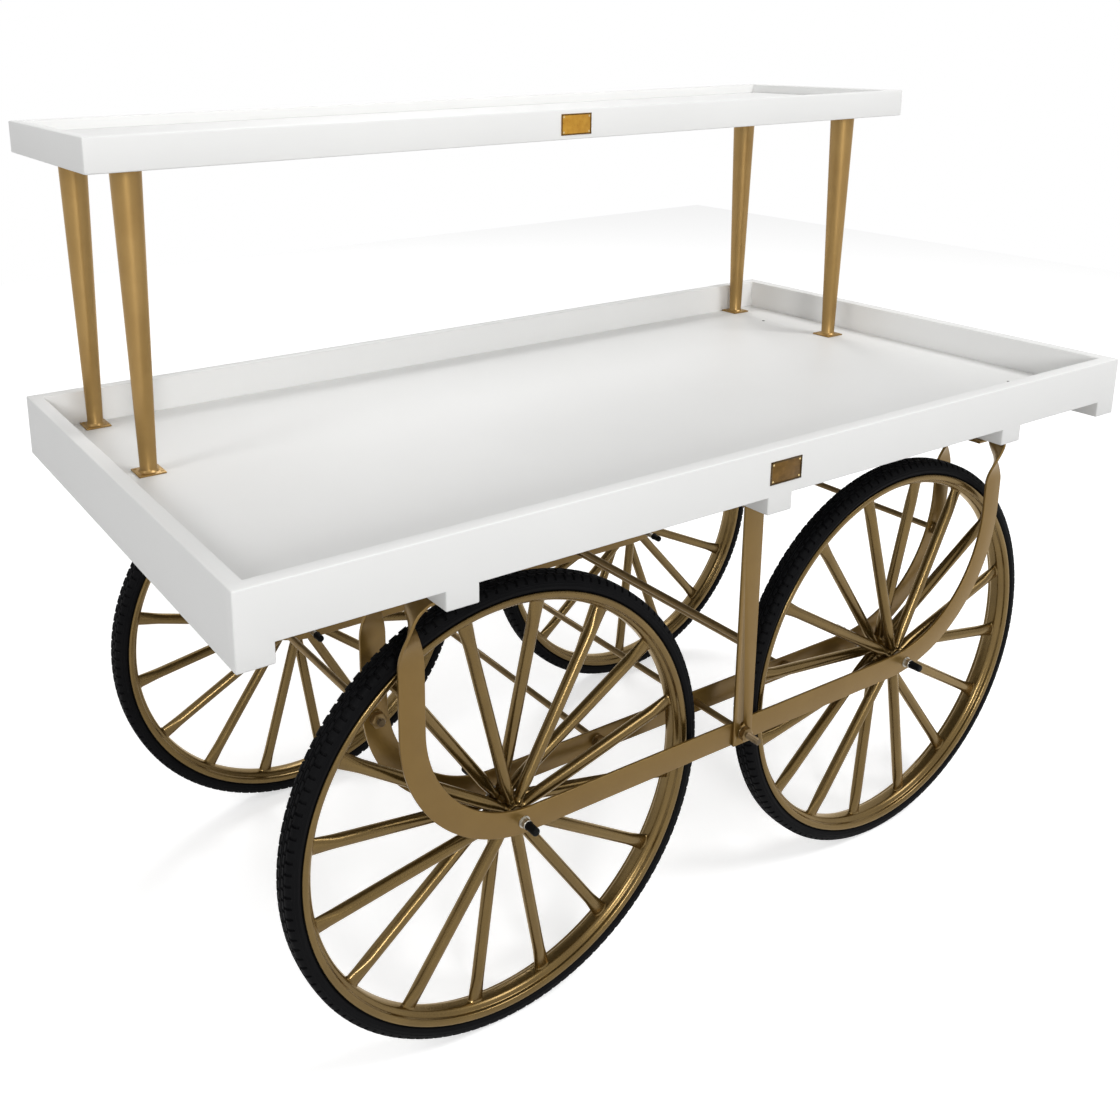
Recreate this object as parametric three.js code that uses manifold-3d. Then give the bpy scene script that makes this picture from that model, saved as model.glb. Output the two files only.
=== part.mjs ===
// Market cart: a long white tray with a raised display shelf, carried by four flat steel straps
// that run round four spoked wheels. Millimetres, +Z up, front towards -Y, origin on the floor
// under the middle of the whole cart.
import * as THREE from 'three';
import { mergeVertices } from 'three/addons/utils/BufferGeometryUtils.js';
import Module from 'manifold-3d';

const wasm = await Module();
wasm.setup();

// Tray
const trayLength = 1830;
const trayWidth = 955;
const trayBoardHeight = 80;
const trayBoardThickness = 25;
const deckThickness = 18;
const woodEdgeEase = 1.5;

// Crossbeams under the tray
const beamHeight = 29;
const beamWidth = 53;

// Display shelf, set in from the tray's ends and over its back, and its legs
const shelfEndInset = 20;
const shelfOverhang = 11.5;
const shelfDepth = 439;
const shelfRise = 490;
const shelfBoardHeight = 54;
const shelfBoardThickness = 20;
const shelfPanelThickness = 15;
const shelfPanelDrop = 19;
const legEndInset = 87;
const legFrontInset = 84.5;
const legBackInset = 61.5;
const legTopDiameter = 51;
const legBottomDiameter = 28;
const legWall = 2;
const legPlateSize = 46;
const legPlateThickness = 3;

// Wheels: each pair's gap from the cart's middle, and the room over the tyres to the tray
const leftTyreGap = 70;
const rightTyreGap = 45;
const tyreHeadroom = 61;
const tyreDiameter = 762;
const tyreWidth = 44;
const tyreTreadWidth = 24;
const tyreSideDrop = 20;
const rimWidth = 44;
const rimBedDepth = 38;
const rimBedThickness = 7.5;
const rimLipRise = 12;
const rimLipWidth = 5;
const rimWellWidth = 20;
const rimSideRise = 9;
const hubDiameter = 30;
const hubLength = 56;
const spokeDiameter = 20;
const spokeRimWidth = 26;
const spokeRimThickness = 13;
const spokeHubWidth = 11;
const spokeHubThickness = 18;
const spokeHubInset = 11;
const spokePressedLength = 45;
const axleDiameter = 12;
const axleOuterReach = 80;
const axleInnerReach = 114;
const axleCollarDiameter = 24;
const axleCollarLength = 9;
const capDiameter = 15.5;
const capLength = 22;
const capEndWall = 2;

// Flat steel straps and posts
const strapWidth = 42;
const strapThickness = 5;
const strapEdgeInset = 57.5;
const strapOuterOffset = 47;
const strapInnerOffset = 62;
const strapArmKick = 22.5;
const strapLeftStraight = 108.3;
const strapRightStraight = 53.3;
const leftBendSetback = 17;
const rightBendSetback = 47;
const strapTwistLength = 85;
const strapFootBend = 12;
const strapFootReach = 85;
const postFootLength = 45;

// Rods, bolts and plates
const rodDiameter = 12;
const nutAcrossFlats = 22;
const nutThickness = 12;
const tieThreadLength = 6;
const throughThreadLength = 24;
const braceRodDrop = 248;
const highTieDrop = 132.5;
const lowTieSpacing = 445;
const nameplateWidth = 68;
const nameplateHeight = 38;
const nameplateThickness = 1.5;
const nameplateCorner = 3;
const trayNameplateOffset = 9;

// Clearance of every running or plain fit, and the overrun of every cut
const clearance = 0.3;
const overrun = 5;

// Counts, angles in degrees and shares
const wheelSides = 32;
const hubSides = 12;
const rodSides = 12;
const legSides = 12;
const spokeSides = 6;
const spokeCount = 16;
const bendSteps = 8;
const twistSteps = 7;
const cornerSteps = 3;
const spokePhases = { front_left: 12.5, front_right: 14, back_left: 7.5, back_right: 20 };
const spokeEndShare = 0.78;

// Places that follow from the sizes above
const trayBottom = tyreDiameter + tyreHeadroom;
const trayRimHeight = trayBottom + trayBoardHeight;
const shelfTopHeight = trayRimHeight + shelfRise;
const deckTop = trayBottom + deckThickness;
const beamBottom = trayBottom - beamHeight;
const shelfBottom = shelfTopHeight - shelfBoardHeight;
const shelfPanelBottom = shelfTopHeight - shelfPanelDrop - shelfPanelThickness;
const shelfLength = trayLength - 2 * shelfEndInset;
const shelfBack = trayWidth / 2 + shelfOverhang;
const shelfFront = shelfBack - shelfDepth;
const shelfSetback = (shelfBack + shelfFront) / 2;
const bodyShift = (trayWidth / 2 + nameplateThickness - shelfBack) / 2;
const axleHeight = (tyreDiameter / 2) * Math.cos(Math.PI / wheelSides);
const leftAxlePlace = tyreDiameter / 2 + leftTyreGap;
const rightAxlePlace = tyreDiameter / 2 + rightTyreGap;
const rimBedRadius = tyreDiameter / 2 - rimBedDepth;
const rimInnerRadius = rimBedRadius - rimBedThickness;
const rimLipRadius = rimBedRadius + rimLipRise;
const outerStrapY = trayWidth / 2 - strapEdgeInset;
const wheelY = outerStrapY - strapOuterOffset;
const innerStrapY = wheelY - strapInnerOffset;
const strapTwistBottom = beamBottom - strapThickness / 2 - strapFootBend - strapTwistLength;
const strapLeftBend = strapTwistBottom - strapLeftStraight - axleHeight;
const strapRightBend = strapTwistBottom - strapRightStraight - axleHeight;
const leftArmX = leftAxlePlace - leftBendSetback + strapLeftBend;
const rightArmX = rightAxlePlace - rightBendSetback + strapRightBend;
const beamToArm = beamWidth / 2 + strapArmKick;
const braceRodHeight = beamBottom - braceRodDrop;
const highTieHeight = strapTwistBottom - highTieDrop;
const postY = outerStrapY + strapThickness;
const rodHoleRadius = (rodDiameter / 2 + clearance) / Math.cos(Math.PI / rodSides);
const axleBoreRadius = (axleDiameter / 2 + clearance) / Math.cos(Math.PI / hubSides);

const whitePaint = { color: 0xe8e8e5, roughness: 0.45, metalness: 0 };
const goldPaint = { color: 0x85663a, roughness: 0.42, metalness: 0.6 };
const legPaint = { color: 0xb08a4c, roughness: 0.38, metalness: 0.6 };
const blackRubber = { color: 0x151516, roughness: 0.7, metalness: 0 };
const plainSteel = { color: 0x8d8c86, roughness: 0.4, metalness: 0.9 };
const platedBrass = { color: 0xa0762a, roughness: 0.4, metalness: 0.8 };

const cart = new THREE.Group();
cart.name = 'market_cart';
cart.position.set(0, bodyShift, 0);

function addPart(name, geometry, paint, x, y, z) {
  const mesh = new THREE.Mesh(geometry, new THREE.MeshStandardMaterial(paint));
  mesh.name = name;
  mesh.position.set(x, y, z);
  cart.add(mesh);
}

// A closed mesh as a solid: shared corners merged, triangles without area left out.
function solidOf(geometry) {
  const bare = geometry.clone();
  bare.deleteAttribute('normal');
  bare.deleteAttribute('uv');
  const merged = mergeVertices(bare);
  const corners = merged.index.array;
  const kept = [];
  for (let i = 0; i < corners.length; i += 3) {
    const [a, b, c] = [corners[i], corners[i + 1], corners[i + 2]];
    if (a !== b && b !== c && c !== a) kept.push(a, b, c);
  }
  return new wasm.Manifold(new wasm.Mesh({
    numProp: 3,
    vertProperties: new Float32Array(merged.attributes.position.array),
    triVerts: new Uint32Array(kept),
  }));
}

function geometryOf(solid) {
  const mesh = solid.getMesh();
  const geometry = new THREE.BufferGeometry();
  geometry.setAttribute('position', new THREE.BufferAttribute(new Float32Array(mesh.vertProperties), 3));
  geometry.setIndex(new THREE.BufferAttribute(new Uint32Array(mesh.triVerts), 1));
  return geometry;
}

// A box with eased edges, centred on its own middle.
function easedBox(sizeX, sizeY, sizeZ) {
  const shape = new THREE.Shape();
  const halfX = sizeX / 2 - woodEdgeEase;
  const halfY = sizeY / 2 - woodEdgeEase;
  shape.moveTo(-halfX, -halfY);
  shape.lineTo(halfX, -halfY);
  shape.lineTo(halfX, halfY);
  shape.lineTo(-halfX, halfY);
  shape.closePath();
  const depth = sizeZ - 2 * woodEdgeEase;
  const geometry = new THREE.ExtrudeGeometry(shape, {
    depth, steps: 1, bevelEnabled: true, bevelSegments: 1,
    bevelSize: woodEdgeEase, bevelThickness: woodEdgeEase,
  });
  return geometry.translate(0, 0, -depth / 2);
}

// A profile of [radius, place] pairs turned round the Y axis, with a flat at the bottom.
function turned(profile, sides) {
  const points = profile.map(([radius, place]) => new THREE.Vector2(radius, place));
  return new THREE.LatheGeometry(points, sides, Math.PI / sides);
}

function rodAlongY(radius, length, sides) {
  return turned([[0, -length / 2], [radius, -length / 2], [radius, length / 2], [0, length / 2]], sides);
}

// Rings of points joined in order, with flat ends. Each ring runs anticlockwise about the way along.
function loft(rings) {
  const count = rings[0].length;
  const index = [];
  for (let i = 0; i + 1 < rings.length; i += 1) {
    for (let j = 0; j < count; j += 1) {
      const next = (j + 1) % count;
      const [a, b] = [i * count + j, i * count + next];
      const [c, d] = [b + count, a + count];
      index.push(a, b, c, a, c, d);
    }
  }
  const last = (rings.length - 1) * count;
  for (let j = 1; j + 1 < count; j += 1) {
    index.push(0, j + 1, j, last, last + j, last + j + 1);
  }
  const geometry = new THREE.BufferGeometry().setFromPoints(rings.flat());
  geometry.setIndex(index);
  return geometry;
}

// Round holes along Y, each at [x, z], cut through a piece that lies about y = 0.
function drilled(solid, holes, radius, sides, depth) {
  let result = solid;
  for (const [x, z] of holes) {
    const drill = rodAlongY(radius, depth + 2 * overrun, sides).translate(x, 0, z);
    result = result.subtract(solidOf(drill));
  }
  return result;
}

function addTray() {
  const boardZ = trayBottom + trayBoardHeight / 2;
  const frontY = (trayWidth - trayBoardThickness) / 2;
  const endX = (trayLength - trayBoardThickness) / 2;
  const inner = trayWidth - 2 * trayBoardThickness;
  const longBoard = easedBox(trayLength, trayBoardThickness, trayBoardHeight);
  const endBoard = easedBox(trayBoardThickness, inner, trayBoardHeight);
  addPart('tray_board_front', longBoard, whitePaint, 0, -frontY, boardZ);
  addPart('tray_board_back', longBoard, whitePaint, 0, frontY, boardZ);
  addPart('tray_board_left', endBoard, whitePaint, -endX, 0, boardZ);
  addPart('tray_board_right', endBoard, whitePaint, endX, 0, boardZ);
  const deck = easedBox(trayLength - 2 * trayBoardThickness, inner, deckThickness);
  addPart('tray_deck', deck, whitePaint, 0, 0, trayBottom + deckThickness / 2);
}

function addBeams() {
  const endX = (trayLength - beamWidth) / 2;
  const [leftX, rightX] = [beamToArm - leftArmX, rightArmX - beamToArm];
  const places = { left_end: -endX, left: leftX, centre: 0, right: rightX, right_end: endX };
  for (const [place, x] of Object.entries(places)) {
    const beam = easedBox(beamWidth, trayWidth, beamHeight);
    addPart(`crossbeam_${place}`, beam, whitePaint, x, 0, beamBottom + beamHeight / 2);
  }
}

function addShelf() {
  const boardZ = shelfBottom + shelfBoardHeight / 2;
  const frontY = (shelfDepth - shelfBoardThickness) / 2;
  const endX = (shelfLength - shelfBoardThickness) / 2;
  const inner = shelfDepth - 2 * shelfBoardThickness;
  const longBoard = easedBox(shelfLength, shelfBoardThickness, shelfBoardHeight);
  const endBoard = easedBox(shelfBoardThickness, inner, shelfBoardHeight);
  addPart('shelf_board_front', longBoard, whitePaint, 0, shelfSetback - frontY, boardZ);
  addPart('shelf_board_back', longBoard, whitePaint, 0, shelfSetback + frontY, boardZ);
  addPart('shelf_board_left', endBoard, whitePaint, -endX, shelfSetback, boardZ);
  addPart('shelf_board_right', endBoard, whitePaint, endX, shelfSetback, boardZ);
  const panel = easedBox(shelfLength - 2 * shelfBoardThickness, inner, shelfPanelThickness);
  addPart('shelf_panel', panel, whitePaint, 0, shelfSetback, shelfPanelBottom + shelfPanelThickness / 2);
}

// A tapered tube welded to a thin square plate, standing on z = 0.
function legGeometry() {
  const length = shelfPanelBottom - deckTop;
  const [low, high] = [legBottomDiameter / 2, legTopDiameter / 2];
  const tube = turned([
    [low - legWall, 0], [low, 0], [high, length], [high - legWall, length], [low - legWall, 0],
  ], legSides).rotateX(Math.PI / 2);
  const plate = new THREE.BoxGeometry(legPlateSize, legPlateSize, legPlateThickness);
  plate.translate(0, 0, legPlateThickness / 2);
  return geometryOf(solidOf(tube).add(solidOf(plate)));
}

function addLegs() {
  const legX = shelfLength / 2 - legEndInset;
  for (const [across, x] of [['left', -legX], ['right', legX]]) {
    for (const [along, y] of [['front', shelfFront + legFrontInset], ['back', shelfBack - legBackInset]]) {
      addPart(`shelf_leg_${along}_${across}`, legGeometry(), legPaint, x, y, deckTop);
    }
  }
}

// One ring of a strap: the rectangle's corners round a place on the strap's middle line.
// slope is how far the strap has turned up from level, twist how far it has turned about its own run.
function strapRing(x, z, side, slope, twist) {
  const along = new THREE.Vector3(Math.cos(slope), 0, side * Math.sin(slope));
  const outer = new THREE.Vector3(along.z, 0, -along.x);
  const wide = outer.multiplyScalar(Math.cos(twist)).add(new THREE.Vector3(0, side * Math.sin(twist), 0));
  const thick = new THREE.Vector3().crossVectors(along, wide);
  wide.multiplyScalar(strapWidth / 2);
  thick.multiplyScalar(strapThickness / 2);
  const middle = new THREE.Vector3(x, 0, z);
  return [[1, 1], [-1, 1], [-1, -1], [1, -1]].map(([w, t]) => (
    middle.clone().addScaledVector(wide, w).addScaledVector(thick, t)
  ));
}

function bendOf(side) {
  return side < 0 ? strapLeftBend : strapRightBend;
}

function armOf(side) {
  return side < 0 ? leftArmX : rightArmX;
}

// A ring on a quarter bend that ends upright or level at the arm's place.
function bendRing(side, bend, centreZ, slope, twist) {
  const x = side * (armOf(side) - bend + bend * Math.sin(slope));
  return strapRing(x, centreZ - bend * Math.cos(slope), side, slope, twist);
}

// The rings of one arm: up round the bend, along the twist, and over into a foot under the beam.
function strapArm(side) {
  const bend = bendOf(side);
  const footZ = beamBottom - strapThickness / 2;
  const twistTop = footZ - strapFootBend;
  const up = Math.PI / 2;
  const rings = [];
  for (let i = 0; i <= bendSteps; i += 1) {
    rings.push(bendRing(side, bend, axleHeight + bend, (up * i) / bendSteps, 0));
  }
  for (let i = 0; i < twistSteps; i += 1) {
    const share = i / twistSteps;
    const z = twistTop - strapTwistLength * (1 - share);
    rings.push(strapRing(side * armOf(side), z, side, up, up * share));
  }
  for (let i = 0; i <= cornerSteps; i += 1) {
    rings.push(bendRing(side, strapFootBend, twistTop, up + (up * i) / cornerSteps, up));
  }
  rings.push(strapRing(side * (armOf(side) - strapFootReach), footZ, side, 2 * up, up));
  return rings;
}

function strapGeometry(holes) {
  const solid = solidOf(loft([...strapArm(-1).reverse(), ...strapArm(1)]));
  return geometryOf(drilled(solid, holes, rodHoleRadius, rodSides, strapThickness));
}

// Where an arm's middle line stands at the height of the upper tie bolts.
function highTieX(side) {
  const bend = bendOf(side);
  const rise = axleHeight + bend - highTieHeight;
  return side * (armOf(side) - bend + Math.sqrt(bend ** 2 - rise ** 2));
}

function addStraps() {
  const shared = [[-leftAxlePlace, axleHeight], [rightAxlePlace, axleHeight], [0, axleHeight]];
  const tieHoles = [
    [highTieX(-1), highTieHeight], [highTieX(1), highTieHeight],
    [-lowTieSpacing / 2, axleHeight], [lowTieSpacing / 2, axleHeight],
  ];
  for (const [end, outward] of [['front', -1], ['back', 1]]) {
    const outer = strapGeometry(shared);
    const inner = strapGeometry([...shared, ...tieHoles]);
    addPart(`strap_${end}_outer`, outer, goldPaint, 0, outward * outerStrapY, 0);
    addPart(`strap_${end}_inner`, inner, goldPaint, 0, outward * innerStrapY, 0);
  }
}

// A flat bar that hangs from the centre beam by a bent foot, drilled at axle height.
function postGeometry(outward) {
  const bottom = axleHeight - strapWidth / 2;
  const [near, far] = [-strapThickness / 2, strapThickness / 2];
  const outline = new THREE.Shape();
  outline.moveTo(near, bottom);
  outline.lineTo(far, bottom);
  outline.lineTo(far, beamBottom - strapThickness);
  outline.absarc(near, beamBottom - strapThickness, strapThickness, 0, Math.PI / 2, false);
  outline.lineTo(near - postFootLength, beamBottom);
  outline.lineTo(near - postFootLength, beamBottom - strapThickness);
  outline.lineTo(near, beamBottom - strapThickness);
  outline.closePath();
  const bar = new THREE.ExtrudeGeometry(outline, {
    depth: strapWidth, bevelEnabled: false, curveSegments: cornerSteps,
  });
  bar.translate(0, 0, -strapWidth / 2);
  const frame = new THREE.Matrix4().makeBasis(
    new THREE.Vector3(0, outward, 0), new THREE.Vector3(0, 0, 1), new THREE.Vector3(outward, 0, 0),
  );
  bar.applyMatrix4(frame);
  return geometryOf(drilled(solidOf(bar), [[0, axleHeight]], rodHoleRadius, rodSides, strapThickness));
}

function addPosts() {
  addPart('centre_post_front', postGeometry(-1), goldPaint, 0, -postY, 0);
  addPart('centre_post_back', postGeometry(1), goldPaint, 0, postY, 0);
}

function hexagon(acrossFlats) {
  const outline = new THREE.Shape();
  const radius = acrossFlats / Math.sqrt(3);
  for (let i = 0; i < 6; i += 1) {
    const angle = (i * Math.PI) / 3;
    const step = i === 0 ? 'moveTo' : 'lineTo';
    outline[step](radius * Math.cos(angle), radius * Math.sin(angle));
  }
  outline.closePath();
  return outline;
}

// A hexagonal block along Y from 0 to its thickness, with a bore when a radius is given.
function hexBlock(acrossFlats, thickness, boreRadius) {
  const outline = hexagon(acrossFlats);
  if (boreRadius > 0) {
    const bore = new THREE.Path();
    bore.absarc(0, 0, boreRadius, 0, 2 * Math.PI, true);
    outline.holes.push(bore);
  }
  const block = new THREE.ExtrudeGeometry(outline, {
    depth: thickness, bevelEnabled: false, curveSegments: rodSides / 2,
  });
  return block.rotateX(-Math.PI / 2);
}

// A long bolt along Y: its head bears on the back strap or post, its nut on the front one.
function addBolt(name, x, z, seatY, threadLength, paint) {
  const length = 2 * seatY + nutThickness + threadLength;
  const shank = rodAlongY(rodDiameter / 2, length, rodSides);
  shank.translate(0, seatY - length / 2, 0);
  const head = hexBlock(nutAcrossFlats, nutThickness, 0).translate(0, seatY, 0);
  addPart(name, geometryOf(solidOf(shank).add(solidOf(head))), paint, x, 0, z);
  const nut = hexBlock(nutAcrossFlats, nutThickness, rodHoleRadius);
  addPart(`${name}_nut`, nut, paint, x, -seatY - nutThickness, z);
}

function addRods() {
  const innerSeat = innerStrapY + strapThickness / 2;
  const postSeat = postY + strapThickness / 2;
  addBolt('tie_bolt_high_left', highTieX(-1), highTieHeight, innerSeat, tieThreadLength, goldPaint);
  addBolt('tie_bolt_high_right', highTieX(1), highTieHeight, innerSeat, tieThreadLength, goldPaint);
  addBolt('tie_bolt_low_left', -lowTieSpacing / 2, axleHeight, innerSeat, tieThreadLength, goldPaint);
  addBolt('tie_bolt_low_right', lowTieSpacing / 2, axleHeight, innerSeat, tieThreadLength, goldPaint);
  addBolt('centre_through_bolt', 0, axleHeight, postSeat, throughThreadLength, goldPaint);
  const braceLength = 2 * (postY - strapThickness / 2);
  addPart('brace_rod', rodAlongY(rodDiameter / 2, braceLength, rodSides), goldPaint, 0, 0, braceRodHeight);
}

// The rim's section: a shallow well with sloping sides towards the hub, a bed and two lips.
function rimGeometry() {
  const [half, well] = [rimWidth / 2, rimWellWidth / 2];
  const [inner, lip, bed] = [rimInnerRadius, rimLipRadius, rimBedRadius];
  return turned([
    [inner, -well], [inner + rimSideRise, -half], [lip, -half], [lip, rimLipWidth - half],
    [bed, rimLipWidth - half], [bed, half - rimLipWidth], [lip, half - rimLipWidth], [lip, half],
    [inner + rimSideRise, half], [inner, well], [inner, -well],
  ], wheelSides);
}

function spokeRing(distance, place, width, thickness, angle) {
  const ring = [];
  for (let i = 0; i < spokeSides; i += 1) {
    const turn = (2 * Math.PI * i) / spokeSides;
    const across = (width / 2) * Math.cos(turn);
    const y = place + (thickness / 2) * Math.sin(turn);
    ring.push(new THREE.Vector3(
      distance * Math.cos(angle) + across * Math.sin(angle), y,
      distance * Math.sin(angle) - across * Math.cos(angle),
    ));
  }
  return ring;
}

// A round tube pressed flat at the rim and pinched at the hub, leaning to one end of the hub.
function spokeGeometry(angle, hubEnd) {
  const outer = rimInnerRadius + rimBedThickness / 2;
  const placeAt = (distance) => hubEnd * (1 - (distance - spokeHubInset) / (outer - spokeHubInset));
  const inner = spokeHubInset + spokePressedLength;
  const beyond = outer - spokePressedLength;
  return loft([
    spokeRing(spokeHubInset, hubEnd, spokeHubWidth, spokeHubThickness, angle),
    spokeRing(inner, placeAt(inner), spokeDiameter, spokeDiameter, angle),
    spokeRing(beyond, placeAt(beyond), spokeDiameter, spokeDiameter, angle),
    spokeRing(outer, 0, spokeRimWidth, spokeRimThickness, angle),
  ]);
}

// outward is the side that the even spokes reach on the hub.
function wheelGeometry(phase, outward) {
  const hub = rodAlongY(hubDiameter / 2, hubLength, hubSides);
  const reach = (hubLength / 2) * spokeEndShare - spokeHubThickness / 4;
  let wheel = solidOf(rimGeometry()).add(solidOf(hub));
  for (let i = 0; i < spokeCount; i += 1) {
    const angle = THREE.MathUtils.degToRad(phase) + (2 * Math.PI * i) / spokeCount;
    const hubEnd = i % 2 === 0 ? outward * reach : -outward * reach;
    wheel = wheel.add(solidOf(spokeGeometry(angle, hubEnd)));
  }
  const bore = rodAlongY(axleBoreRadius, hubLength + 2 * overrun, hubSides);
  return geometryOf(wheel.subtract(solidOf(bore)));
}

// The tyre sits in the rim with the named clearance on the bed and between the lips.
function tyreGeometry() {
  const outer = tyreDiameter / 2;
  const seat = rimBedRadius + clearance;
  const lip = rimLipRadius + 2 * clearance;
  const neck = rimWidth / 2 - rimLipWidth - clearance;
  const [tread, side] = [tyreTreadWidth / 2, tyreWidth / 2];
  return turned([
    [seat, -neck], [lip, -neck], [outer - tyreSideDrop, -side], [outer, -tread],
    [outer, tread], [outer - tyreSideDrop, side], [lip, neck], [seat, neck], [seat, -neck],
  ], wheelSides);
}

// A bar along Y with a pinned collar at each end of the hub. outward is -1 at the front.
function axleGeometry(outward) {
  const bar = axleDiameter / 2;
  const collar = axleCollarDiameter / 2;
  const near = hubLength / 2 + clearance;
  const far = near + axleCollarLength;
  const [low, high] = outward < 0 ? [axleOuterReach, axleInnerReach] : [axleInnerReach, axleOuterReach];
  return turned([
    [0, -low], [bar, -low], [bar, -far], [collar, -far], [collar, -near], [bar, -near],
    [bar, near], [collar, near], [collar, far], [bar, far], [bar, high], [0, high],
  ], hubSides);
}

// A rubber cup that slips over an axle's end, its mouth at y = 0 and its closed end along facing.
function capGeometry(facing) {
  const outer = capDiameter / 2;
  const [mouth, floor, end] = [0, capLength - capEndWall, capLength];
  const cup = turned([
    [0, floor], [axleBoreRadius, floor], [axleBoreRadius, mouth], [outer, mouth], [outer, end], [0, end],
  ], hubSides);
  return facing < 0 ? cup.rotateX(Math.PI) : cup;
}

function addWheels() {
  for (const [end, outward] of [['front', -1], ['back', 1]]) {
    for (const [hand, x] of [['left', -leftAxlePlace], ['right', rightAxlePlace]]) {
      const corner = `${end}_${hand}`;
      const y = outward * wheelY;
      addPart(`wheel_${corner}`, wheelGeometry(spokePhases[corner], outward), goldPaint, x, y, axleHeight);
      addPart(`tyre_${corner}`, tyreGeometry(), blackRubber, x, y, axleHeight);
      addPart(`axle_${corner}`, axleGeometry(outward), plainSteel, x, y, axleHeight);
      const mouth = capLength - capEndWall - clearance;
      const outerY = y + outward * (axleOuterReach - mouth);
      const innerY = y - outward * (axleInnerReach - mouth);
      addPart(`axle_cap_outer_${corner}`, capGeometry(outward), blackRubber, x, outerY, axleHeight);
      addPart(`axle_cap_inner_${corner}`, capGeometry(-outward), blackRubber, x, innerY, axleHeight);
    }
  }
}

function nameplateGeometry() {
  const [halfX, halfY] = [nameplateWidth / 2, nameplateHeight / 2];
  const corner = nameplateCorner;
  const outline = new THREE.Shape();
  outline.moveTo(-halfX + corner, -halfY);
  outline.absarc(halfX - corner, -halfY + corner, corner, -Math.PI / 2, 0, false);
  outline.absarc(halfX - corner, halfY - corner, corner, 0, Math.PI / 2, false);
  outline.absarc(-halfX + corner, halfY - corner, corner, Math.PI / 2, Math.PI, false);
  outline.absarc(-halfX + corner, -halfY + corner, corner, Math.PI, 1.5 * Math.PI, false);
  outline.closePath();
  const plate = new THREE.ExtrudeGeometry(outline, {
    depth: nameplateThickness, bevelEnabled: false, curveSegments: cornerSteps,
  });
  return plate.rotateX(Math.PI / 2);
}

function addNameplates() {
  const shelfZ = shelfBottom + shelfBoardHeight / 2;
  const trayZ = trayBottom + trayBoardHeight / 2;
  addPart('shelf_nameplate', nameplateGeometry(), platedBrass, 0, shelfFront, shelfZ);
  addPart('tray_nameplate', nameplateGeometry(), platedBrass, trayNameplateOffset, -trayWidth / 2, trayZ);
}

addTray();
addBeams();
addShelf();
addLegs();
addStraps();
addPosts();
addRods();
addWheels();
addNameplates();

export default cart;
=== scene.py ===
import math
import random

import bmesh
import bpy
from mathutils import Matrix, Vector


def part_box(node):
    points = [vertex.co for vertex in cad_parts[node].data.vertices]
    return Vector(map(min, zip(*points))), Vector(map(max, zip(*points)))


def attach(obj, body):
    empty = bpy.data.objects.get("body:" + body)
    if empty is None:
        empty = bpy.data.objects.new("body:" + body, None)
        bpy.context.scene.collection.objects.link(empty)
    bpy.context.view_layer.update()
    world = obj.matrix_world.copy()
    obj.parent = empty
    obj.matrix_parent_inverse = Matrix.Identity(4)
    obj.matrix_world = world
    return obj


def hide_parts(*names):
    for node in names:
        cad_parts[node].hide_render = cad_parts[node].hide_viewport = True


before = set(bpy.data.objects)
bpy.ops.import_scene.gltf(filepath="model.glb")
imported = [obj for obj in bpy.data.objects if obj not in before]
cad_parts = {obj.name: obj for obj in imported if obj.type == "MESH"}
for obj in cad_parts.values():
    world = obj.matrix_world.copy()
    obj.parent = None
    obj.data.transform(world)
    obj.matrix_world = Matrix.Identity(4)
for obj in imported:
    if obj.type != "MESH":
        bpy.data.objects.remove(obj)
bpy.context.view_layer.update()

CHASSIS = "chassis"
CORNERS = ("front_left", "front_right", "back_left", "back_right")

# Camera: where it stands, its turn about the upright, its dip, its roll and the photograph's centre
CAMERA_PLACE = Vector((-1.3935, -1.7273, 1.5373))
CAMERA_AZIMUTH = -31.571
CAMERA_ELEVATION = 14.748
CAMERA_ROLL = -0.834
SENSOR_WIDTH = 36.0
FOCAL_PIXELS = 1223.09
IMAGE_SIZE = 1120
CENTRE_COLUMN = 436
CENTRE_ROW = 350
CLIP_NEAR = 0.05
CLIP_FAR = 200

# Edges: the small chamfer of turned pieces, the roundness of a bevel, and the angles in degrees
# above which an edge is shaded sharp, is rounded or is no longer flat
EDGE = 0.0008
BEVEL_PROFILE = 0.5
SHARP_ANGLE = 32
WHEEL_SHARP_ANGLE = 50
TYRE_SHARP_ANGLE = 28
ROUNDED_ANGLE = 30
FLAT_ANGLE = 1

# Wooden boards: the faces of joined ones are matched to a number of decimals of a metre
BOARD_ROUND = 0.0022
BOARD_ROUND_STEPS = 3
MATCH_DECIMALS = 6
DECK_SCREW_RADIUS = 0.0035
DECK_SCREW_RISE = 0.0008
DECK_SCREW_PLACES = ((0.789, 0.309), (0.798, -0.335))

# Rim: half of its section from the middle of the well to the bed, as (radius, place across)
RIM_SECTION = (
    (0.3355, 0.0), (0.3356, 0.0050), (0.3362, 0.0080), (0.3376, 0.0106), (0.3398, 0.0126),
    (0.3420, 0.0138), (0.3431, 0.0150), (0.3433, 0.0166), (0.3434, 0.0182), (0.3440, 0.0196),
    (0.3455, 0.0209), (0.3478, 0.0217), (0.3505, 0.0220), (0.3530, 0.0216), (0.3545, 0.0205),
    (0.3550, 0.0193), (0.3544, 0.0180), (0.3525, 0.0172), (0.3490, 0.0169), (0.3450, 0.0168),
)
RIM_INNER = RIM_SECTION[0][0]
RIM_STEPS = 176

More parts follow.
